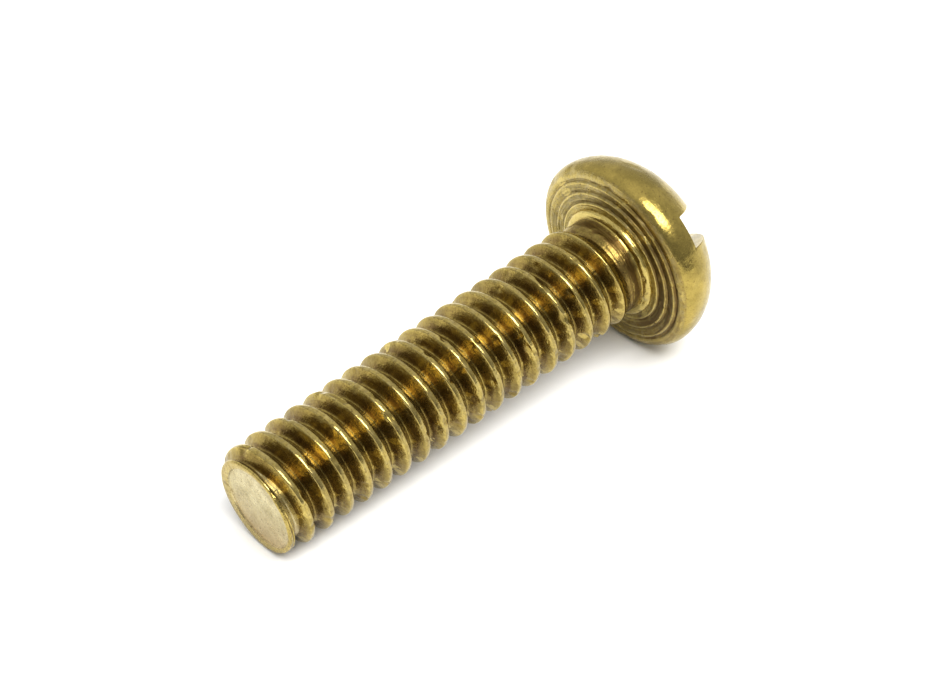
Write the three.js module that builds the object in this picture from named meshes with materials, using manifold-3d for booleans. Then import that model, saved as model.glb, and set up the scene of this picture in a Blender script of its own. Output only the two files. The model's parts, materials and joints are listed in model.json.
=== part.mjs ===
// Slotted round head machine screw, turned and rolled from one piece of brass.
// It lies at rest on its thread and on the rim of its head, with the tip towards -X.
// Units are millimetres and +Z is up. The origin is the middle of the footprint, on the surface.
//
// The screw is modelled in its own frame first: Z runs from the tip to the top of the head, z = 0 is
// the bearing face under the head, and angles turn from X to Y.

import * as THREE from "three";
import { ParametricGeometry } from "three/addons/geometries/ParametricGeometry.js";
import { mergeVertices } from "three/addons/utils/BufferGeometryUtils.js";
import Module from "manifold-3d";

const wasm = await Module();
wasm.setup();

// Thread: 20 to the inch, right hand, one start
const pitch = 1.27;
const threadDiameter = 6.05; // over the crests
const flankAngle = THREE.MathUtils.degToRad(30); // each flank, from square to the axis
const crestShare = 0.26; // of the pitch, left flat on the crest
const rootShare = 0.09; // of the pitch, left flat in the root
const threadStart = THREE.MathUtils.degToRad(71); // where the crest meets the end face

// Shank
const shankLength = 24.6; // bearing face to end face
const neckLength = 0.7; // bearing face to the last trace of thread
const runoutLength = 1.5; // the thread fades into the neck over this length
const endTaperDepth = 0.2; // the end face is this much smaller all round than the thread
const endTaperLength = 1.0; // the thread reaches full diameter over this length
const endLipWidth = 0.35; // the rim that rolling raised around the end face
const endDishDepth = 0.1;

// Head
const headDiameter = 11.25;
const headHeight = 4.6; // bearing face to the top of the dome
const rimHeight = 0.95; // bearing face to the widest part
const slotWidth = 1.85;
const slotDepth = 2.8;
const slotAngle = THREE.MathUtils.degToRad(51);

// Underside of the head: a collar around the neck, the flat that bears on the work, then rings left by
// turning, each a step further back
const collarWidth = 0.44;
const collarHeight = 0.3;
const bearingWidth = 0.44;
const rimInset = 0.76; // last ring to the widest part of the head
const ringCount = 3;
const ringStep = 0.06;
const ringGrooveWidth = 0.16;
const ringGrooveDepth = 0.07;

// Facets
const facets = 36; // around the axis, shared by the thread and the head
const domeSteps = 9;
const rimSteps = 4;
const flatTolerance = 0.01; // facets closer than this to one plane are joined
const tiltSteps = 30; // halvings of the range that the angle at rest is sought in

const facetAngle = (2 * Math.PI) / facets;
const threadRadius = threadDiameter / 2;
const threadDepth = (pitch * (1 - crestShare - rootShare)) / 2 / Math.tan(flankAngle);
const rootRadius = threadRadius - threadDepth;
// The blank is as thick as the line where ridge and groove are equally wide
const neckRadius = threadRadius - (pitch * (0.5 - crestShare)) / 2 / Math.tan(flankAngle);
const endRadius = threadRadius - endTaperDepth;
const collarRadius = neckRadius + collarWidth;
const headRadius = headDiameter / 2;
const firstRingRadius = collarRadius + bearingWidth;
const lastRingRadius = headRadius - rimInset;
const tip = -shankLength;
const cutClearance = 0.5; // how far a cutter reaches past the metal it removes

const brass = new THREE.MeshStandardMaterial({
  name: "brass",
  color: new THREE.Color(0.62, 0.53, 0.27),
  roughness: 0.34,
  metalness: 1,
});

function toManifold(geometry) {
  const bare = geometry.clone();
  bare.deleteAttribute("normal");
  bare.deleteAttribute("uv");
  const merged = mergeVertices(bare, 1e-5);
  return new wasm.Manifold(
    new wasm.Mesh({
      numProp: 3,
      vertProperties: new Float32Array(merged.attributes.position.array),
      triVerts: new Uint32Array(merged.index.array),
    }),
  );
}

function toGeometry(solid) {
  const mesh = solid.getMesh();
  const geometry = new THREE.BufferGeometry();
  geometry.setAttribute("position", new THREE.BufferAttribute(mesh.vertProperties, 3));
  geometry.setIndex(new THREE.BufferAttribute(mesh.triVerts, 1));
  geometry.computeVertexNormals();
  return geometry;
}

// A turned solid about Z, from [radius, z] points that start and end on the axis. A facet, not an
// edge, faces each of the four quarter directions.
function turned(profile) {
  const points = profile.map(([radius, z]) => new THREE.Vector2(radius, z));
  const geometry = new THREE.LatheGeometry(points, facets);
  geometry.rotateX(Math.PI / 2);
  geometry.rotateZ(facetAngle / 2);
  return toManifold(geometry);
}

function endProfile() {
  const dishRadius = endRadius - endLipWidth;
  return [
    [0, tip + endDishDepth],
    [dishRadius - endDishDepth, tip + endDishDepth],
    [dishRadius, tip],
    [endRadius, tip],
    [(endRadius + 2 * threadRadius) / 3, tip + endTaperLength / 3],
    [threadRadius, tip + endTaperLength],
  ];
}

function neckProfile() {
  return [
    [threadRadius, -neckLength - runoutLength],
    [neckRadius, -neckLength],
    [neckRadius, -collarHeight],
    [collarRadius - collarHeight / 2, -collarHeight],
    [collarRadius, -collarHeight / 2],
    [collarRadius, 0],
  ];
}

// Each ring ends in a small V groove, and the flat beyond it is one step further from the tip
function undersideProfile() {
  const points = [];
  for (let index = 0; index < ringCount; index += 1) {
    const radius = THREE.MathUtils.lerp(firstRingRadius, lastRingRadius, index / (ringCount - 1));
    const z = index * ringStep;
    points.push([radius - ringGrooveWidth / 2, z]);
    points.push([radius, z + ringGrooveDepth]);
    points.push([radius + ringGrooveWidth / 2, z + ringStep]);
  }
  return points;
}

// The rim swells out from the last ring to the widest part, then the dome is half an ellipse
function headProfile() {
  const innerRadius = lastRingRadius + ringGrooveWidth / 2;
  const innerZ = ringCount * ringStep;
  const points = [];
  for (let step = 1; step <= rimSteps; step += 1) {
    const angle = (step / rimSteps) * (Math.PI / 2);
    const radius = innerRadius + (headRadius - innerRadius) * Math.sin(angle);
    points.push([radius, rimHeight - (rimHeight - innerZ) * Math.cos(angle)]);
  }
  for (let step = 1; step < domeSteps; step += 1) {
    const angle = (step / domeSteps) * (Math.PI / 2);
    points.push([headRadius * Math.cos(angle), rimHeight + (headHeight - rimHeight) * Math.sin(angle)]);
  }
  points.push([0, headHeight]);
  return points;
}

// Half the width of the groove at a radius
function grooveHalfWidth(radius) {
  return (pitch * rootShare) / 2 + (radius - rootRadius) * Math.tan(flankAngle);
}

// The z of the middle of the groove at an angle from the start of the thread
function grooveHeight(angle) {
  return tip + pitch * ((angle - threadStart) / (2 * Math.PI) + 0.5);
}

// The groove as a solid: its section follows the helix from clear of the end face, and rises out of
// the shank over the run-out. A point closes it at either end.
function groove() {
  const lift = threadDepth + cutClearance / 2;
  const outer = threadRadius + cutClearance;
  const runoutEnd = -neckLength;
  const turns = (runoutEnd - tip) / pitch + 1;
  const firstFacet = Math.floor((threadStart - 2 * Math.PI) / facetAngle) - facets / 4;
  const sections = Math.ceil(turns * facets) + facets / 4;
  const stacks = sections + 2;

  function section(index, corner, target) {
    const angle = (firstFacet + index + 0.5) * facetAngle;
    const middle = grooveHeight(angle);
    const faded = THREE.MathUtils.clamp((middle - runoutEnd + runoutLength) / runoutLength, 0, 1);
    const level = corner < 2 ? rootRadius : outer;
    const radius = level + faded * lift;
    const side = corner === 0 || corner === 3 ? -1 : 1;
    const z = middle + side * grooveHalfWidth(level);
    target.set(radius * Math.cos(angle), radius * Math.sin(angle), z);
  }

  function point(u, v, target) {
    const stack = Math.round(v * stacks);
    const index = THREE.MathUtils.clamp(stack - 1, 0, sections);
    if (stack === 0 || stack === stacks) {
      const opposite = new THREE.Vector3();
      section(index, 0, target);
      section(index, 2, opposite);
      target.lerp(opposite, 0.5);
      return;
    }
    section(index, Math.round(u * 4) % 4, target);
  }

  return toManifold(new ParametricGeometry(point, 4, stacks));
}

function slot() {
  const box = new THREE.BoxGeometry(headDiameter + 2 * cutClearance, slotWidth, 2 * slotDepth);
  box.translate(0, 0, headHeight);
  box.rotateZ(slotAngle);
  return toManifold(box);
}

function screwSolid() {
  const profile = [...endProfile(), ...neckProfile(), ...undersideProfile(), ...headProfile()];
  return turned(profile).subtract(groove()).subtract(slot()).simplify(flatTolerance);
}

// How low the head or the shank hangs when the screw lies with X up and its axis at a tilt
function lowestHeight(geometry, tilt, ofHead) {
  const position = geometry.attributes.position;
  let lowest = Infinity;
  for (let index = 0; index < position.count; index += 1) {
    const z = position.getZ(index);
    if (z > 0 === ofHead) {
      const height = z * Math.sin(tilt) + position.getX(index) * Math.cos(tilt);
      lowest = Math.min(lowest, height);
    }
  }
  return lowest;
}

// The tilt at which the thread and the rim of the head touch one flat surface, found by halving
function restTilt(geometry) {
  let tooFlat = 0;
  let tooSteep = Math.PI / 4;
  for (let step = 0; step < tiltSteps; step += 1) {
    const tilt = (tooFlat + tooSteep) / 2;
    if (lowestHeight(geometry, tilt, true) < lowestHeight(geometry, tilt, false)) {
      tooFlat = tilt;
    } else {
      tooSteep = tilt;
    }
  }
  return tooFlat;
}

const screw = new THREE.Mesh(toGeometry(screwSolid()), brass);
screw.name = "machine_screw";
screw.rotation.set(0, Math.PI / 2 - restTilt(screw.geometry), Math.PI);

// Stand the lowest point on Z = 0, with the footprint centred on the origin
const lying = new THREE.Group();
lying.add(screw);
const bounds = new THREE.Box3().setFromObject(lying, true);
const middle = bounds.getCenter(new THREE.Vector3());
screw.position.set(-middle.x, -middle.y, -bounds.min.z);

export default lying;
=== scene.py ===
"""Brass slotted round head machine screw, lying on a white surface under one large overhead softbox.

The screw is built in its own frame, in metres: Z runs from the tip to the top of the head, z = 0 is the
bearing face under the head, and angles turn from X to Y. The record's mounts give that frame's place.
"""

import json
import math
from types import SimpleNamespace

import bmesh
import bpy
from mathutils import Matrix, Vector, noise


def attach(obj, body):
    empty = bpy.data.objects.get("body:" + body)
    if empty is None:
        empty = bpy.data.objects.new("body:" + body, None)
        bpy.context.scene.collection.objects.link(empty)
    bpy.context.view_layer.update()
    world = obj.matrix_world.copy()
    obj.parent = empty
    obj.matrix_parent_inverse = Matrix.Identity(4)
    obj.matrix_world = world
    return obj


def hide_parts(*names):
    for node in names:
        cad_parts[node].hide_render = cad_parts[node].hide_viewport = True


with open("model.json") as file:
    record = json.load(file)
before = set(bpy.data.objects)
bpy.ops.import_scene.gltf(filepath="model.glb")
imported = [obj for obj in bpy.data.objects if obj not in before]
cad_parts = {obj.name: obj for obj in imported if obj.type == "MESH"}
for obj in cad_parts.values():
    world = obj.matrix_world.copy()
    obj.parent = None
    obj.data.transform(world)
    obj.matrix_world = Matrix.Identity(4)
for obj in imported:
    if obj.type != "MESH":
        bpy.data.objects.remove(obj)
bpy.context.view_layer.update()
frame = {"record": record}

MM = 0.001
TURN = 2 * math.pi
FACETS = 36  # the CAD's circles have this many sides, one of them facing straight down
ROUND = math.cos(math.pi / FACETS)  # a true circle inside that polygon is this much smaller

# Thread
PITCH = 1.27 * MM
THREAD_RADIUS = 6.05 / 2 * ROUND * MM
FLANK_ANGLE = math.radians(30)
CREST_SHARE = 0.26  # of the pitch, left flat on the crest
ROOT_SHARE = 0.09  # of the pitch, left flat in the root
THREAD_START = math.radians(71)
THREAD_DEPTH = PITCH * (1 - CREST_SHARE - ROOT_SHARE) / 2 / math.tan(FLANK_ANGLE)
ROOT_RADIUS = THREAD_RADIUS - THREAD_DEPTH
CREST_ROUNDING = 0.09  # of the thread's depth, blended away at the crest's two edges
ROOT_ROUNDING = 0.25
CREST_FALL = 0.1 * MM  # the crest is rounded down towards the head by this much
CREST_FALL_START = -0.06  # of the pitch, from the middle of the crest
CREST_BLEND = 0.02 * MM

# Shank
SHANK_LENGTH = 24.6 * MM
TIP = -SHANK_LENGTH
NECK_RADIUS = THREAD_RADIUS - PITCH * (0.5 - CREST_SHARE) / 2 / math.tan(FLANK_ANGLE)
NECK_LENGTH = 0.7 * MM
RUNOUT_LENGTH = 1.5 * MM
END_TAPER_DEPTH = 0.2 * MM
END_TAPER_LENGTH = 1.0 * MM
END_EDGE_ROUNDING = 0.12 * MM
END_FILL_RADIUS = 2.62 * MM  # the thread's root is raised to this at the tip, where its start is rolled over
END_FILL_LENGTH = 0.45 * MM
RECESS_RADIUS = 2.32 * MM
RECESS_DEPTH = 0.09 * MM
RECESS_SIDE = math.radians(85)  # the recess is off centre towards here, so its lip is wider on the other side
RECESS_OFFSET = 0.35 * MM
RECESS_CENTRE = Vector((math.cos(RECESS_SIDE), math.sin(RECESS_SIDE), 0)) * RECESS_OFFSET
# The recess's wall as (distance in from its edge, share of its depth)
RECESS_SECTION = [(0, 0.1), (0.02 * MM, 0.45), (0.05 * MM, 0.9), (0.09 * MM, 1)]
RECESS_RINGS = [0.8, 0.55, 0.3, 0.12]  # of the recess's radius, to divide its flat

# Head
WEAR_ROOM = 0.9975  # keeps the uneven surface of the head inside the CAD's box
HEAD_RADIUS = 11.25 / 2 * ROUND * WEAR_ROOM * MM
HEAD_HEIGHT = 4.59 * MM  # the CAD's is 4.6 mm
RIM_HEIGHT = 0.95 * MM
SLOT_WIDTH = 1.85 * MM
SLOT_DEPTH = 2.8 * MM
SLOT_ANGLE = math.radians(51)
SLOT_FLOOR = HEAD_HEIGHT - SLOT_DEPTH
SLOT_ALONG = Vector((math.cos(SLOT_ANGLE), math.sin(SLOT_ANGLE), 0))
SLOT_ACROSS = Vector((-SLOT_ALONG.y, SLOT_ALONG.x, 0))
SLOT_EDGE_ROUNDING = 0.05 * MM
SLOT_EDGE_MIDDLE = 0.4 * SLOT_EDGE_ROUNDING  # the rounding has one more row of vertices here
SLOT_EDGE_LIMIT = 0.9 * SLOT_EDGE_ROUNDING  # vertices further out than this are past the rounding

# Underside of the head
COLLAR_RADIUS = NECK_RADIUS + 0.44 * MM
COLLAR_HEIGHT = 0.3 * MM
COLLAR_FOOT = 0.1 * MM
COLLAR_FOOT_SPREAD = 0.04 * MM
BEAD_SQUARENESS = 0.7  # below 1 the collar's edge is fuller than an ellipse
FIRST_RING_RADIUS = COLLAR_RADIUS + 0.44 * MM
LAST_RING_RADIUS = HEAD_RADIUS - 0.76 * MM
RING_COUNT = 3
RING_STEP = 0.06 * MM
RING_GROOVE_WIDTH = 0.15 * MM
RING_GROOVE_DEPTH = 0.1 * MM
RING_GROOVE_FLOOR = 0.3  # of the groove's width is flat
RING_WIDENING = 0.35  # the outermost groove is wider than the innermost by this share
RING_RIDGE_HEIGHT = 0.035 * MM  # the turning tool leaves a ridge on the inside of each groove
# The ridge's section as (distance out from the groove in half its widths, share of the ridge's height)
RIDGE_SECTION = [(-3.4, 0), (-2.8, 0.4), (-2.3, 0.9), (-1.9, 1), (-1.5, 0.85), (-1.1, 0.2)]

# Wear
WAVE_DEPTH = 0.008 * MM
WAVE_SCALE = 0.9 / MM
SCUFF_DEPTH = 0.006 * MM
SCUFF_SCALE = 5.5 / MM
DENT_DEPTH = 0.25 * MM
DENT_SCALE = 1.7 / MM
DENT_LEVEL = 0.33  # of the noise; higher leaves fewer dents
DENT_SEED = Vector((11, 5, 3))
HEAD_WEAR = 0.5  # as a share of the wear on the crests

# Mesh density
COLUMNS = 144  # around the axis
DOME_STEPS = 34
EDGE_STEPS = 4
BEAD_STEPS = 9
RIM_STEPS = 12
HALF_ROWS = [0.035, 0.075, 0.105, 0.119, 0.13, 0.141, 0.155, 0.19, 0.25, 0.32, 0.39, 0.42, 0.445, 0.47]
THREAD_ROWS = [-0.5] + [-row for row in reversed(HALF_ROWS)] + HALF_ROWS  # of the pitch, from the crest
SHARP_ANGLE = math.radians(38)
TIP_MERGE = 0.002 * MM  # vertices closer than this are joined after the tip is cut off
SLOT_MERGE = 0.0015 * MM  # the same, after the slot is cut
ON_PLANE = 0.003 * MM  # a vertex this close to a plane lies in it
CLEAR_OF_FLOOR = 0.01 * MM  # a vertex this far above the slot's floor is not part of it
SLOT_REACH = 0.3 * MM  # faces this far below the slot's floor can still be cut by it

# Colours of the brass
# BRIGHT is the rubbed edges' brass, and the painted highlight on them and on the collar
BRIGHT = (0.61, 0.5, 0.19, 1)
GOLD = (0.48, 0.38, 0.125, 1)
OLIVE = (0.315, 0.25, 0.08, 1)
DULL = (0.43, 0.37, 0.21, 1)
# BROWN is tarnish, and also the painted shade in hollows and on one side of the underside
BROWN = (0.165, 0.11, 0.04, 1)
PALE = (0.67, 0.61, 0.4, 1)
# ROSY is a painted reflection of the white surface on the end face
ROSY = (0.56, 0.44, 0.27, 1)

# Noise in the brass: features per metre, detail, roughness
PATCHES = (420, 5, 0.6)
BLOTCHES = (1500, 4, 0.65)
MOTTLE = (3600, 3, 0.6)
SPECKS = (6500, 2, 0.5)
GRAIN = (9500, 3, 0.7)
LINES = (2600, 3, 0.6)
STREAKS = (1300, 3, 0.6)
LINE_FINENESS = 2.6  # the noise of turned lines changes this many times as fast across them
LINE_STRETCH = 0.25  # and this many times as fast along them

# Where each part of the brass's finish, and of its painted shade, highlights and reflection, begins and where
# it is complete
SHANK_FADE = (-0.25 * MM, -0.45 * MM)
NECK_FADE = (-1.7 * MM, -0.9 * MM)
COLLAR_LOW_FADE = (-0.38 * MM, -0.28 * MM)
COLLAR_HIGH_FADE = (0.02 * MM, -0.04 * MM)
UNDER_LOW_FADE = (-0.35 * MM, -0.2 * MM)
UNDER_HIGH_FADE = (0.4 * MM, 0.25 * MM)
UNDER_SIDE_FADE = (-1.5 * MM, 2.5 * MM)  # along Y; painted shade makes one side of the underside darker
OUTSIDE_COLLAR_FADE = (COLLAR_RADIUS, COLLAR_RADIUS + 0.15 * MM)
FLANK_FADE = (THREAD_RADIUS - 0.05 * MM, THREAD_RADIUS - 0.45 * MM)
ROOT_FADE = (ROOT_RADIUS + 0.02 * MM, ROOT_RADIUS + 0.1 * MM)
CREST_FADE = (THREAD_RADIUS - 0.08 * MM, THREAD_RADIUS - 0.03 * MM)
END_FADE = (RECESS_RADIUS + 0.02 * MM, RECESS_RADIUS - 0.02 * MM)
LIP_FADE = (TIP + 0.22 * MM, TIP + 0.06 * MM)
ROSY_FADE = (0.3 * MM, -2.4 * MM)  # down the end face, a painted reflection of the white surface, rosier towards the bottom
EDGE_FADE = (0.505, 0.54)  # of Pointiness
EDGE_HIGH_FADE = (0.35 * MM, 0.2 * MM)  # the dome's dents count as edges too, so it is left out
CAVITY_FADE = (0.88, 0.5)  # of the ambient occlusion, which paints shade into hollows together with their tarnish
CAVITY_LOW_FADE = (-0.5 * MM, -0.3 * MM)
CAVITY_REACH = 0.25 * MM
DOME_FADE = (0.3 * MM, 0.6 * MM)

# How much brown tarnish and painted shade there is, 0 to 1, and where it lies
CREST_TARNISH = 0.2
FLANK_TARNISH = 0.95
ROOT_TARNISH = 0.45  # as a share of the flank's
# painted shade on one side of the underside
UNDER_PAINTED_SHADE = 0.9
BLOTCH_SHARE = 0.45  # the tarnish and painted shade follow blotches by this much, and streaks by the rest
TARNISH_AND_SHADE_FADE = (0.42, 0.56)
LEAST_TARNISH_AND_SHADE = 0.35
NECK_LINE_FADE = (0.38, 0.58)
LEAST_NECK_TARNISH = 0.4
# kept clear on the collar, so its painted highlight stays bright
COLLAR_LEFT_BRIGHT = 0.95
# rubbed edges are kept clear: real wear, and room for their painted highlight
EDGES_RUBBED_AND_HIGHLIT = 0.85
LIP_TARNISH_FADE = (0.35, 0.6)
LIP_TARNISH = (0.2, 0.8)

# How the colours are shared out
OLIVE_FADE = (0.4, 0.6)
CREST_DULLNESS = 0.8
DULL_FADE = (0.42, 0.62)
DULL_SHARE = (0.1, 0.75)
# rubbed bright edges, which also carry a painted highlight on crest corners and ring ridges
EDGE_WEAR_AND_HIGHLIGHT = 0.7
# a painted highlight on the collar's bead
COLLAR_PAINTED_HIGHLIGHT = 0.8
END_DULL_FADE = (0.35, 0.7)
# share of the painted reflection at the bottom of the end face
END_ROSY_SHARE = 0.8
END_SHARE = 0.85
GRIT_FADE = (0.52, 0.32)
HEAD_GRIT = 0.28
SHANK_MORE_GRIT = 0.3
END_LESS_GRIT = 0.5
SPECK_FADE = (0.65, 0.72)
SPECK_SHARE = 0.7

# Roughness, and how much rougher each part is
NOISE_MIDDLE = (0.3, 0.7)
PATCH_ROUGHNESS = (0.12, 0.22)
MOTTLE_ROUGHNESS = (-0.04, 0.07)
DOME_ROUGHNESS = 0.04
# rougher where the tarnish and painted shade are
TARNISH_AND_SHADE_ROUGHNESS = 0.1
PART_ROUGHNESS = {"under": 0.12, "end": 0.12, "lip": 0.08, "neck": 0.07, "collar": -0.1, "edges": -0.05}

# Relief
WHOLE = (0, 1)
RELIEF_DEPTH = 0.05 * MM
RELIEF_STRENGTH = 0.6
LINE_RELIEF = 0.3
MORE_LINE_RELIEF = 1.6  # on the neck and under the head
LINE_HEIGHTS = (-0.5, 0.5)
BLOTCH_HEIGHTS = (-0.45, 0.45)
MOTTLE_HEIGHTS = (-0.35, 0.35)
GRAIN_HEIGHTS = (-0.1, 0.1)
WORN_RELIEF = 0.6

# Light
KEY_AZIMUTH = math.radians(-8)
KEY_ELEVATION = math.radians(62)
KEY_DISTANCE = 2  # metres
KEY_SIZE = (2.0, 0.96)
KEY_RADIANCE = 5.5
ROOM_BRIGHT_SIDE = (0.3, 0.7, 0.65)  # the camera's own side of the room is darker
ROOM_BRIGHT = 0.8
ROOM_DARK = 0.2

# Floor
FLOOR_SIZE = 3
WHITE_SURFACE = (0.92, 0.92, 0.92, 1)

# Camera
CAMERA_AZIMUTH = math.radians(-41.98)
CAMERA_ELEVATION = math.radians(39.6)
CAMERA_DISTANCE = 138.9 * MM
CAMERA_AIM = (-0.05 * MM, 0.2 * MM, 4.81 * MM)
CAMERA_LENS = 103.7
CAMERA_SENSOR = 36
CAMERA_NEAR = 1 * MM
VIEW_GAMMA = 0.8
VIEW_EXPOSURE = 0.5


def smooth_min(a, b, blend):
    overlap = max(blend - abs(a - b), 0) / blend
    return min(a, b) - overlap * overlap * blend / 4


def smooth_max(a, b, blend):
    return -smooth_min(-a, -b, blend)


def smooth_step(low, high, value):
    """0 at low and beyond, 1 at high and beyond, in either order."""
    x = min(max((value - low) / (high - low), 0), 1)
    return x * x * (3 - 2 * x)


def crest_height(angle):
    """The z of the middle of the crest, at an angle counted on from turn to turn."""
    return TIP + PITCH * (angle - THREAD_START) / TURN


def ridge(offset):
    """Height of the thread's section, 0 in the root and 1 on the crest, offset in pitches from the crest."""
    slope = (0.5 - ROOT_SHARE / 2 - abs(offset)) / (0.5 - ROOT_SHARE / 2 - CREST_SHARE / 2)
    return smooth_min(smooth_max(slope, 0, ROOT_ROUNDING), 1, CREST_ROUNDING)


def shank_radius(angle, z):
    """The radius of the threaded shank, which tapers in at the tip and fades into the neck."""
    offset = (z - crest_height(angle)) / PITCH
    offset -= round(offset)
    taper = END_TAPER_DEPTH * max(1 - (z - TIP) / END_TAPER_LENGTH, 0)
    faded = smooth_step(-NECK_LENGTH - RUNOUT_LENGTH, -NECK_LENGTH, z)
    crest = THREAD_RADIUS - taper
    radius = ROOT_RADIUS + THREAD_DEPTH * ridge(offset)
    filled = smooth_step(END_FILL_LENGTH, 0, z - TIP)
    radius += max(END_FILL_RADIUS - radius, 0) * filled
    radius = smooth_min(radius, crest, CREST_BLEND)
    fall = min(max(offset - CREST_FALL_START, 0) / (CREST_SHARE / 2 - CREST_FALL_START), 1)
    radius -= CREST_FALL * fall * fall * ridge(offset)
    return radius + (NECK_RADIUS - radius) * faded


def on_circle(radius, angle, z):
    return Vector((radius * math.cos(angle), radius * math.sin(angle), z))


def wear(place, outward):
    """How far the surface has moved out at a place: slow waves, with dents and scuffs on what stands out."""
    waves = noise.noise(place * WAVE_SCALE) * WAVE_DEPTH
    dents = max(noise.noise(place * DENT_SCALE + DENT_SEED) - DENT_LEVEL, 0) * DENT_DEPTH * outward
    scuffs = noise.noise(place * SCUFF_SCALE) * SCUFF_DEPTH * outward
    return waves - dents + scuffs


def in_slot(place):
    above_floor = place.z > SLOT_FLOOR - CLEAR_OF_FLOOR
    return above_floor and abs(place.dot(SLOT_ACROSS)) < SLOT_WIDTH / 2 + CLEAR_OF_FLOOR


def worn(mesh):
    """Moves vertices along their normals by the wear; crests wear most, and the slot's inside not at all."""
    mesh.normal_update()
    moves = []
    for vertex in mesh.verts:
        if in_slot(vertex.co):
            moves.append(Vector())
            continue
        radius = math.hypot(vertex.co.x, vertex.co.y)
        outward = smooth_step(ROOT_RADIUS, THREAD_RADIUS, radius) if vertex.co.z < 0 else HEAD_WEAR
        moves.append(vertex.normal * wear(vertex.co, outward))
    for vertex, move in zip(mesh.verts, moves):
        vertex.co += move


def add_thread(mesh):
    """A strip one pitch wide, wound into a helix and joined to itself. It returns the ring that ends it.

    The first turn starts below the tip, to be cut off there. Over the last turn the strip narrows to
    nothing under a level ring.
    """
    step = TURN / COLUMNS
    top = -NECK_LENGTH
    first = math.floor((THREAD_START - TURN) / step)
    last = first + math.ceil((top + PITCH / 2 - crest_height(first * step)) / PITCH * COLUMNS)
    grid = []
    for column in range(first, last + 1):
        angle = column * step
        low = crest_height(angle) - PITCH / 2
        width = min(PITCH, max(top - low, 0))
        points = []
        for row in THREAD_ROWS:
            z = min(low + (row + 0.5) * width, top)
            points.append(mesh.verts.new(on_circle(shank_radius(angle, z), angle, z)))
        grid.append(points)
    ring = []
    for column in range(last - COLUMNS + 1, last + 1):
        angle = column * step
        ring.append(mesh.verts.new(on_circle(shank_radius(angle, top), angle, top)))

    def above(index):
        after = index + COLUMNS
        return grid[after][0] if after < len(grid) else ring[after - len(grid)]

    for index in range(len(grid) - 1):
        left = grid[index] + [above(index)]
        right = grid[index + 1] + [above(index + 1)]
        for row in range(len(left) - 1):
            mesh.faces.new((left[row], right[row], right[row + 1], left[row + 1]))
    return ring


def underside_profile():
    """The collar, the bearing flat and the turned rings, as [radius, z] from the neck outwards."""
    points = [[NECK_RADIUS, -COLLAR_HEIGHT - COLLAR_FOOT], [NECK_RADIUS + COLLAR_FOOT_SPREAD, -COLLAR_HEIGHT]]
    for step in range(1, BEAD_STEPS + 1):
        turn = math.pi / 2 * step / BEAD_STEPS
        radius = NECK_RADIUS + (COLLAR_RADIUS - NECK_RADIUS) * math.sin(turn) ** BEAD_SQUARENESS
        points.append([radius, -COLLAR_HEIGHT * math.cos(turn) ** BEAD_SQUARENESS])
    for index in range(RING_COUNT):
        share = index / (RING_COUNT - 1)
        radius = FIRST_RING_RADIUS + (LAST_RING_RADIUS - FIRST_RING_RADIUS) * share
        half = RING_GROOVE_WIDTH / 2 * (1 + RING_WIDENING * share)
        z = index * RING_STEP
        for outward, rise in RIDGE_SECTION:
            points.append([radius + outward * half, z - rise * RING_RIDGE_HEIGHT])
        points.append([radius - RING_GROOVE_FLOOR * half, z + RING_GROOVE_DEPTH])
        points.append([radius + RING_GROOVE_FLOOR * half, z + RING_GROOVE_DEPTH])
        points.append([radius + half, z + RING_STEP])
    return points


def head_profile():
    """The rim, which swells to the widest part, and the dome, which is half an ellipse, as [radius, z]."""
    inner_radius = LAST_RING_RADIUS + RING_GROOVE_WIDTH
    inner_z = RING_COUNT * RING_STEP
    points = []
    for step in range(1, RIM_STEPS + 1):
        angle = math.pi / 2 * step / RIM_STEPS
        radius = inner_radius + (HEAD_RADIUS - inner_radius) * math.sin(angle)
        points.append([radius, RIM_HEIGHT - (RIM_HEIGHT - inner_z) * math.cos(angle)])
    for step in range(1, DOME_STEPS):
        angle = math.pi / 2 * step / DOME_STEPS
        z = RIM_HEIGHT + (HEAD_HEIGHT - RIM_HEIGHT) * math.sin(angle)
        points.append([HEAD_RADIUS * math.cos(angle), z])
    return points


def add_head(mesh, ring):
    """Turned rings from the ring that ends the thread to the top of the dome."""
    angles = [math.atan2(vertex.co.y, vertex.co.x) for vertex in ring]
    for radius, z in underside_profile() + head_profile():
        outer = [mesh.verts.new(on_circle(radius, angle, z)) for angle in angles]
        for index in range(len(ring)):
            after = (index + 1) % len(ring)
            mesh.faces.new((ring[index], ring[after], outer[after], outer[index]))
        ring = outer
    top = mesh.verts.new((0, 0, HEAD_HEIGHT))
    for index in range(len(ring)):
        mesh.faces.new((ring[index], ring[(index + 1) % len(ring)], top))


def everything(mesh):
    return mesh.verts[:] + mesh.edges[:] + mesh.faces[:]


def boundary_loop(mesh):
    """The vertices of the one open edge, in order."""
    open_edges = {edge for edge in mesh.edges if edge.is_boundary}
    edge = min(open_edges, key=lambda e: e.index)
    loop = [edge.verts[0]]
    vertex = edge.verts[1]
    while vertex != loop[0]:
        loop.append(vertex)
        edge = next(e for e in vertex.link_edges if e in open_edges and e != edge)
        vertex = edge.other_vert(vertex)
    return loop


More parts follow.
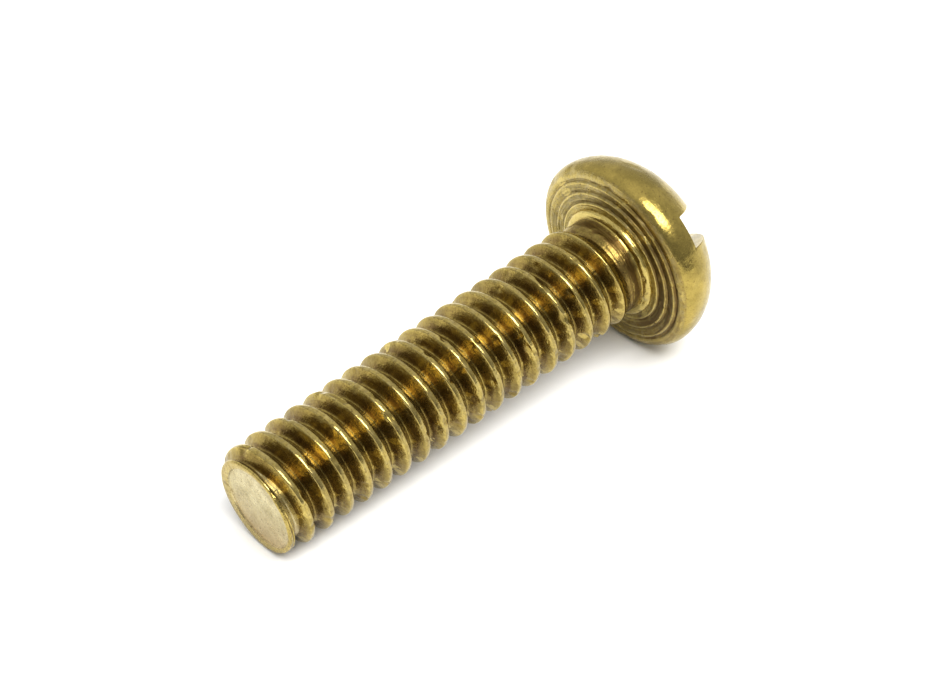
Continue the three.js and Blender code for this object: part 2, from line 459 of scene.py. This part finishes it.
def close_tip(mesh):
    """Cuts the thread off square and rounds its edge, then sinks the end face inside a lip."""
    bmesh.ops.bisect_plane(mesh, geom=everything(mesh), plane_co=(0, 0, TIP + END_EDGE_ROUNDING),
                           plane_no=(0, 0, 1), clear_inner=True)
    bmesh.ops.remove_doubles(mesh, verts=mesh.verts[:], dist=TIP_MERGE)
    mesh.edges.index_update()
    rings = [boundary_loop(mesh)]
    for step in range(1, EDGE_STEPS + 1):
        turn = math.pi / 2 * step / EDGE_STEPS
        inset = END_EDGE_ROUNDING * (1 - math.cos(turn))
        z = TIP + END_EDGE_ROUNDING * (1 - math.sin(turn))
        ring = []
        for vertex in rings[0]:
            level = Vector((vertex.co.x, vertex.co.y, 0))
            ring.append(mesh.verts.new(level * (1 - inset / level.length) + Vector((0, 0, z))))
        rings.append(ring)
    for radius, depth in recess_profile():
        ring = []
        for vertex in rings[0]:
            out = Vector((vertex.co.x, vertex.co.y, 0)) - RECESS_CENTRE
            place = RECESS_CENTRE + out.normalized() * radius
            ring.append(mesh.verts.new((place.x, place.y, TIP + depth)))
        rings.append(ring)
    count = len(rings[0])
    for outer, inner in zip(rings, rings[1:]):
        for index in range(count):
            after = (index + 1) % count
            mesh.faces.new((outer[index], outer[after], inner[after], inner[index]))
    middle = mesh.verts.new(RECESS_CENTRE + Vector((0, 0, TIP + RECESS_DEPTH)))
    for index in range(count):
        mesh.faces.new((rings[-1][index], rings[-1][(index + 1) % count], middle))


def recess_profile():
    """The recess of the end face from its edge inwards, as [radius from its own centre, depth]."""
    wall = [[RECESS_RADIUS - inwards, share * RECESS_DEPTH] for inwards, share in RECESS_SECTION]
    return wall + [[RECESS_RADIUS * share, RECESS_DEPTH] for share in RECESS_RINGS]


def with_edges_and_vertices(faces):
    edges = dict.fromkeys(edge for face in faces for edge in face.edges)
    vertices = dict.fromkeys(vertex for face in faces for vertex in face.verts)
    return list(vertices) + list(edges) + faces


def faces_above(mesh, z, half_width=math.inf):
    """The faces whose middles are above z and within half_width of the slot's middle plane."""
    faces = []
    for face in mesh.faces:
        middle = face.calc_center_median()
        if middle.z > z and abs(middle.dot(SLOT_ACROSS)) < half_width:
            faces.append(face)
    return faces


def cut_slot(mesh):
    """Cuts the slot's outline into the dome, takes out what is inside it, and rounds the edges it leaves."""
    half = SLOT_WIDTH / 2
    reach = SLOT_FLOOR - SLOT_REACH
    for side in (-1, 1):
        for beyond in (0, SLOT_EDGE_MIDDLE, SLOT_EDGE_ROUNDING):
            dome = with_edges_and_vertices(faces_above(mesh, reach))
            bmesh.ops.bisect_plane(mesh, geom=dome, plane_co=SLOT_ACROSS * side * (half + beyond),
                                   plane_no=SLOT_ACROSS)
    inside = with_edges_and_vertices(faces_above(mesh, reach, half))
    bmesh.ops.bisect_plane(mesh, geom=inside, plane_co=(0, 0, SLOT_FLOOR), plane_no=(0, 0, 1))
    bmesh.ops.delete(mesh, geom=faces_above(mesh, SLOT_FLOOR, half), context="FACES")
    bmesh.ops.remove_doubles(mesh, verts=mesh.verts[:], dist=SLOT_MERGE)
    for vertex in mesh.verts:
        beyond = abs(vertex.co.dot(SLOT_ACROSS)) - half
        if vertex.co.z > SLOT_FLOOR + CLEAR_OF_FLOOR and beyond < SLOT_EDGE_LIMIT:
            inwards = 1 - max(beyond, 0) / SLOT_EDGE_ROUNDING
            vertex.co.z -= SLOT_EDGE_ROUNDING * (1 - math.sqrt(max(1 - inwards ** 2, 0)))


def wall_slot(mesh):
    """Fills the cut with two walls and a floor."""
    open_edges = [edge for edge in mesh.edges if edge.is_boundary]
    floor_vertices = {}

    def floor_vertex(vertex):
        if abs(vertex.co.z - SLOT_FLOOR) < ON_PLANE:
            return vertex
        if vertex.index not in floor_vertices:
            floor_vertices[vertex.index] = mesh.verts.new((vertex.co.x, vertex.co.y, SLOT_FLOOR))
        return floor_vertices[vertex.index]

    def in_wall(edge, side):
        plane = side * SLOT_WIDTH / 2
        return all(abs(vertex.co.dot(SLOT_ACROSS) - plane) < ON_PLANE for vertex in edge.verts)

    mesh.verts.index_update()
    for side in (-1, 1):
        edges = [edge for edge in open_edges if in_wall(edge, side)]
        vertices = dict.fromkeys(vertex for edge in edges for vertex in edge.verts)
        upper = sorted(vertices, key=lambda vertex: vertex.co.dot(SLOT_ALONG))
        lower = [floor_vertex(vertex) for vertex in upper]
        for index in range(len(upper) - 1):
            corners = dict.fromkeys([upper[index], upper[index + 1], lower[index + 1], lower[index]])
            if len(corners) > 2:
                mesh.faces.new(list(corners))
    left_over = [edge for edge in mesh.edges if edge.is_boundary]
    bmesh.ops.holes_fill(mesh, edges=left_over, sides=0)


def build_mesh():
    """The screw as one closed mesh, already at its place in the row frame."""
    mesh = bmesh.new()
    add_head(mesh, add_thread(mesh))
    close_tip(mesh)
    cut_slot(mesh)
    wall_slot(mesh)
    worn(mesh)
    bmesh.ops.recalc_face_normals(mesh, faces=mesh.faces[:])
    for face in mesh.faces:
        face.smooth = True
    for edge in mesh.edges:
        edge.smooth = not (edge.is_manifold and edge.calc_face_angle() > SHARP_ANGLE)
    rotation, origin = screw_frame()
    mesh.transform(Matrix.Translation(origin) @ rotation)
    data = bpy.data.meshes.new("brass_screw")
    mesh.to_mesh(data)
    mesh.free()
    return data


def screw_frame():
    """The rotation and origin that take the screw's own frame to the row frame, from the record's mounts."""
    mounts = {mount["name"]: mount for mount in frame["record"]["mounts"]}
    axis = Vector(mounts["driver_slot_floor"]["axis"]).normalized()
    on_axis = Vector(mounts["driver_slot_floor"]["pos_m"])
    bearing = Vector(mounts["bearing_face"]["pos_m"])
    origin = on_axis + axis * (bearing - on_axis).dot(axis)
    up = (bearing - origin).normalized()
    side = axis.cross(up)
    return Matrix((up, side, axis)).transposed().to_4x4(), origin


class Nodes:
    """Short ways to add and join shader nodes."""

    def __init__(self, tree):
        self.tree = tree
        tree.nodes.clear()

    def add(self, kind, inputs=None, **settings):
        node = self.tree.nodes.new(kind)
        for name, value in settings.items():
            setattr(node, name, value)
        for key, value in (inputs or {}).items():
            self.set(node.inputs[key], value)
        return node

    def set(self, socket, value):
        if isinstance(value, bpy.types.NodeSocket):
            self.tree.links.new(value, socket)
        elif isinstance(value, bpy.types.Node):
            self.tree.links.new(value.outputs[0], socket)
        else:
            socket.default_value = value

    def math(self, operation, a, b=0.0, clamp=False):
        return self.add("ShaderNodeMath", {0: a, 1: b}, operation=operation, use_clamp=clamp).outputs[0]

    def times(self, a, b):
        return self.math("MULTIPLY", a, b)

    def plus(self, a, b):
        return self.math("ADD", a, b)

    def most(self, a, b):
        return self.math("MAXIMUM", a, b)

    def except_in(self, mask, share=1.0):
        """1 outside the mask, and lower inside it by the share."""
        return self.math("SUBTRACT", 1.0, self.times(mask, share))

    def ramp(self, value, fade, low=0.0, high=1.0):
        """From low where the value is the first of the fade's two, to high where it is the second."""
        inputs = {0: value, 1: fade[0], 2: fade[1], 3: low, 4: high}
        return self.add("ShaderNodeMapRange", inputs).outputs[0]

    def noise(self, vector, scale, detail, roughness):
        inputs = {"Vector": vector, "Scale": scale, "Detail": detail, "Roughness": roughness}
        return self.add("ShaderNodeTexNoise", inputs).outputs["Fac"]

    def mix(self, factor, a, b):
        node = self.add("ShaderNodeMix", data_type="RGBA")
        self.set(node.inputs["Factor"], factor)
        self.set(node.inputs["A"], a)
        self.set(node.inputs["B"], b)
        return node.outputs["Result"]


def brass_places(nodes):
    """The place on the screw in its own frame, whole, in parts, and squeezed across the turned lines."""
    rotation, origin = screw_frame()
    inputs = {"Vector": nodes.add("ShaderNodeTexCoord").outputs["Object"],
              "Location": origin, "Rotation": rotation.to_euler()}
    whole = nodes.add("ShaderNodeMapping", inputs, vector_type="TEXTURE").outputs[0]
    x, y, z = nodes.add("ShaderNodeSeparateXYZ", {0: whole}).outputs
    radius = nodes.math("SQRT", nodes.plus(nodes.times(x, x), nodes.times(y, y)))
    across = nodes.add("ShaderNodeCombineXYZ", {0: nodes.times(radius, LINE_FINENESS),
                                                2: nodes.times(z, LINE_FINENESS)})
    along = nodes.add("ShaderNodeVectorMath", {0: whole, 1: (LINE_STRETCH, LINE_STRETCH, 0)},
                      operation="MULTIPLY")
    turned = nodes.add("ShaderNodeVectorMath", {0: across, 1: along}, operation="ADD").outputs[0]
    return SimpleNamespace(whole=whole, x=x, y=y, z=z, radius=radius, turned=turned)


def brass_noises(nodes, place):
    return SimpleNamespace(
        patches=nodes.noise(place.whole, *PATCHES), blotches=nodes.noise(place.whole, *BLOTCHES),
        mottle=nodes.noise(place.whole, *MOTTLE), specks=nodes.noise(place.whole, *SPECKS),
        grain=nodes.noise(place.whole, *GRAIN), lines=nodes.noise(place.turned, *LINES),
        streaks=nodes.noise(place.turned, *STREAKS))


def brass_masks(nodes, place):
    """Masks for the parts of the screw that differ in finish, from 0 outside each to 1 inside it."""
    z = place.z
    radius = place.radius
    end_centre = RECESS_CENTRE + Vector((0, 0, TIP))
    from_end = nodes.add("ShaderNodeVectorMath", {0: place.whole, 1: end_centre}, operation="DISTANCE")
    pointed = nodes.add("ShaderNodeNewGeometry").outputs["Pointiness"]
    shank = nodes.ramp(z, SHANK_FADE)
    end = nodes.ramp(from_end.outputs["Value"], END_FADE)
    return SimpleNamespace(
        shank=shank, end=end,
        neck=nodes.times(nodes.ramp(z, NECK_FADE), shank),
        collar=nodes.times(nodes.ramp(z, COLLAR_LOW_FADE), nodes.ramp(z, COLLAR_HIGH_FADE)),
        under=nodes.times(nodes.ramp(z, UNDER_HIGH_FADE), nodes.ramp(z, UNDER_LOW_FADE)),
        crest=nodes.times(nodes.ramp(radius, CREST_FADE), shank),
        edges=nodes.times(nodes.ramp(pointed, EDGE_FADE), nodes.ramp(z, EDGE_HIGH_FADE)),
        lip=nodes.times(nodes.ramp(z, LIP_FADE), nodes.except_in(end)))


def brass_tarnish_and_shade(nodes, place, noises, masks):
    """Brown tarnish on thread flanks, neck, ring grooves and the end's lip, with painted shade in hollows and
    on one side of the underside.
    """
    flank = nodes.ramp(place.radius, FLANK_FADE, CREST_TARNISH, FLANK_TARNISH)
    off_root = nodes.ramp(place.radius, ROOT_FADE, ROOT_TARNISH)
    deep = nodes.times(nodes.times(flank, off_root), masks.shank)
    deep = nodes.times(nodes.most(deep, masks.neck), nodes.except_in(masks.end))
    # Painted shade: darker in the hollows that the ambient occlusion finds, along with the tarnish in them.
    open_sky = nodes.add("ShaderNodeAmbientOcclusion", {"Distance": CAVITY_REACH}, samples=6, only_local=True)
    shaded = nodes.ramp(open_sky.outputs["AO"], CAVITY_FADE)
    cavity = nodes.times(shaded, nodes.ramp(place.z, CAVITY_LOW_FADE))
    # Painted shade: one side of the underside is darkened for the dark it reflects.
    painted_shade_side = nodes.times(nodes.ramp(place.y, UNDER_SIDE_FADE, 0, UNDER_PAINTED_SHADE),
                             nodes.ramp(place.radius, OUTSIDE_COLLAR_FADE))
    deep = nodes.most(nodes.most(deep, cavity), nodes.times(masks.under, painted_shade_side))
    patchiness = nodes.plus(nodes.times(noises.blotches, BLOTCH_SHARE),
                         nodes.times(noises.streaks, 1 - BLOTCH_SHARE))
    tarnish_and_shade = nodes.math("MULTIPLY", deep, nodes.ramp(patchiness, TARNISH_AND_SHADE_FADE, LEAST_TARNISH_AND_SHADE), clamp=True)
    in_lines = nodes.ramp(noises.lines, NECK_LINE_FADE, LEAST_NECK_TARNISH)
    tarnish_and_shade = nodes.most(tarnish_and_shade, nodes.times(masks.neck, in_lines))
    # The collar is kept clear, so its painted highlight stays bright.
    tarnish_and_shade = nodes.times(tarnish_and_shade, nodes.except_in(masks.collar, COLLAR_LEFT_BRIGHT))
    # Rubbed edges are kept clear too, as real wear and for their painted highlight.
    tarnish_and_shade = nodes.times(tarnish_and_shade, nodes.except_in(masks.edges, EDGES_RUBBED_AND_HIGHLIT))
    on_lip = nodes.times(masks.lip, nodes.ramp(noises.blotches, LIP_TARNISH_FADE, *LIP_TARNISH))
    return nodes.most(tarnish_and_shade, on_lip)


def brass_colour(nodes, place, noises, masks, tarnish_and_shade):
    """Gold and olive patches, dull crests, brown tarnish with painted shade, rubbed bright edges with a
    painted highlight, a painted highlight on the collar, a pale end face with a painted reflection, and grit.
    """
    colour = nodes.mix(nodes.ramp(noises.patches, OLIVE_FADE), GOLD, OLIVE)
    dulled = nodes.math("ADD", nodes.times(masks.crest, CREST_DULLNESS), masks.under, clamp=True)
    dulled = nodes.times(dulled, nodes.ramp(noises.mottle, DULL_FADE, *DULL_SHARE))
    colour = nodes.mix(dulled, colour, DULL)
    # Brown for the tarnish and for the painted shade in the same mask.
    colour = nodes.mix(tarnish_and_shade, colour, BROWN)
    # Rubbed bright edges with a painted highlight, and a painted highlight on the collar.
    rubbed_and_highlit = nodes.most(nodes.times(masks.edges, EDGE_WEAR_AND_HIGHLIGHT), nodes.times(masks.collar, COLLAR_PAINTED_HIGHLIGHT))
    colour = nodes.mix(rubbed_and_highlit, colour, BRIGHT)
    face = nodes.mix(nodes.ramp(noises.blotches, END_DULL_FADE), PALE, DULL)
    # A painted reflection of the white surface, rosier down the end face.
    face = nodes.mix(nodes.ramp(place.x, ROSY_FADE, 0, END_ROSY_SHARE), face, ROSY)
    colour = nodes.mix(nodes.times(masks.end, END_SHARE), colour, face)
    grit_share = nodes.plus(nodes.times(masks.shank, SHANK_MORE_GRIT), HEAD_GRIT)
    grit = nodes.times(nodes.ramp(noises.grain, GRIT_FADE), grit_share)
    colour = nodes.mix(nodes.times(grit, nodes.except_in(masks.end, END_LESS_GRIT)), colour, BROWN)
    return nodes.mix(nodes.times(nodes.ramp(noises.specks, SPECK_FADE), SPECK_SHARE), colour, BROWN)


def brass_roughness(nodes, place, noises, masks, tarnish_and_shade):
    rough = nodes.ramp(noises.patches, NOISE_MIDDLE, *PATCH_ROUGHNESS)
    rough = nodes.plus(rough, nodes.ramp(noises.mottle, NOISE_MIDDLE, *MOTTLE_ROUGHNESS))
    rough = nodes.plus(rough, nodes.ramp(place.z, DOME_FADE, 0, DOME_ROUGHNESS))
    rough = nodes.plus(rough, nodes.times(tarnish_and_shade, TARNISH_AND_SHADE_ROUGHNESS))
    for part, amount in PART_ROUGHNESS.items():
        rough = nodes.plus(rough, nodes.times(getattr(masks, part), amount))
    return rough


def brass_relief(nodes, noises, masks):
    """Turned lines, strongest on the neck and under the head, and an unevenness, weaker on worn parts."""
    line_share = nodes.times(nodes.most(masks.neck, masks.under), MORE_LINE_RELIEF)
    line_share = nodes.plus(line_share, LINE_RELIEF)
    lines = nodes.times(nodes.ramp(noises.lines, WHOLE, *LINE_HEIGHTS), line_share)
    uneven = nodes.plus(nodes.ramp(noises.blotches, WHOLE, *BLOTCH_HEIGHTS),
                        nodes.ramp(noises.mottle, WHOLE, *MOTTLE_HEIGHTS))
    uneven = nodes.plus(uneven, nodes.ramp(noises.grain, WHOLE, *GRAIN_HEIGHTS))
    worn_parts = nodes.most(masks.crest, nodes.except_in(masks.shank))
    height = nodes.plus(lines, nodes.times(uneven, nodes.except_in(worn_parts, 1 - WORN_RELIEF)))
    inputs = {"Strength": RELIEF_STRENGTH, "Distance": RELIEF_DEPTH, "Height": height}
    return nodes.add("ShaderNodeBump", inputs).outputs[0]


def brass_material():
    material = bpy.data.materials.new("brass")
    material.use_nodes = True
    nodes = Nodes(material.node_tree)
    place = brass_places(nodes)
    noises = brass_noises(nodes, place)
    masks = brass_masks(nodes, place)
    tarnish_and_shade = brass_tarnish_and_shade(nodes, place, noises, masks)
    shader = nodes.add("ShaderNodeBsdfPrincipled", {
        "Base Color": brass_colour(nodes, place, noises, masks, tarnish_and_shade),
        "Metallic": 1.0,
        "Roughness": brass_roughness(nodes, place, noises, masks, tarnish_and_shade),
        "Normal": brass_relief(nodes, noises, masks)})
    nodes.add("ShaderNodeOutputMaterial", {"Surface": shader})
    return material


def add_screw():
    data = build_mesh()
    data.materials.append(brass_material())
    screw = bpy.data.objects.new("brass_screw", data)
    bpy.context.scene.collection.objects.link(screw)
    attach(screw, "root")
    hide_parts("machine_screw")


def floor_material():
    material = bpy.data.materials.new("white_surface")
    material.use_nodes = True
    nodes = Nodes(material.node_tree)
    shader = nodes.add("ShaderNodeBsdfDiffuse", {"Color": WHITE_SURFACE})
    nodes.add("ShaderNodeOutputMaterial", {"Surface": shader})
    return material


def add_floor():
    bpy.ops.mesh.primitive_plane_add(size=FLOOR_SIZE)
    floor = bpy.context.object
    floor.name = "floor"
    floor.data.materials.append(floor_material())


def add_world():
    """A room that is brighter on one side, and white where the camera looks straight at it."""
    world = bpy.data.worlds.new("studio")
    bpy.context.scene.world = world
    world.use_nodes = True
    nodes = Nodes(world.node_tree)
    direction = nodes.add("ShaderNodeTexCoord").outputs["Generated"]
    facing = nodes.add("ShaderNodeVectorMath", {0: direction, 1: ROOM_BRIGHT_SIDE}, operation="DOT_PRODUCT")
    room = nodes.ramp(facing.outputs["Value"], (-1, 1), ROOM_DARK, ROOM_BRIGHT)
    seen = nodes.add("ShaderNodeLightPath").outputs["Is Camera Ray"]
    strength = nodes.add("ShaderNodeMix", {0: seen, 2: room, 3: 1.0}).outputs[0]
    background = nodes.add("ShaderNodeBackground", {"Color": (1, 1, 1, 1), "Strength": strength})
    nodes.add("ShaderNodeOutputWorld", {"Surface": background})


def away(azimuth, elevation):
    """The direction out from the object; azimuth 0 is towards -Y and 90 towards +X."""
    level = math.cos(elevation)
    return Vector((math.sin(azimuth) * level, -math.cos(azimuth) * level, math.sin(elevation)))


def add_key():
    light = bpy.data.lights.new("key", "AREA")
    light.shape = "RECTANGLE"
    light.size, light.size_y = KEY_SIZE
    light.energy = KEY_RADIANCE * math.pi * KEY_SIZE[0] * KEY_SIZE[1]
    lamp = bpy.data.objects.new("key", light)
    bpy.context.scene.collection.objects.link(lamp)
    direction = away(KEY_AZIMUTH, KEY_ELEVATION)
    lamp.location = direction * KEY_DISTANCE
    lamp.rotation_euler = direction.to_track_quat("Z", "Y").to_euler()


def add_camera():
    camera = bpy.data.cameras.new("camera")
    camera.lens = CAMERA_LENS
    camera.sensor_width = CAMERA_SENSOR
    camera.clip_start = CAMERA_NEAR
    item = bpy.data.objects.new("camera", camera)
    bpy.context.scene.collection.objects.link(item)
    back = away(CAMERA_AZIMUTH, CAMERA_ELEVATION)
    item.location = Vector(CAMERA_AIM) + back * CAMERA_DISTANCE
    item.rotation_euler = back.to_track_quat("Z", "Y").to_euler()
    bpy.context.scene.camera = item


add_screw()
add_floor()
add_world()
add_key()
add_camera()
view = bpy.context.scene.view_settings
view.view_transform = "Standard"
view.gamma = VIEW_GAMMA
view.exposure = VIEW_EXPOSURE
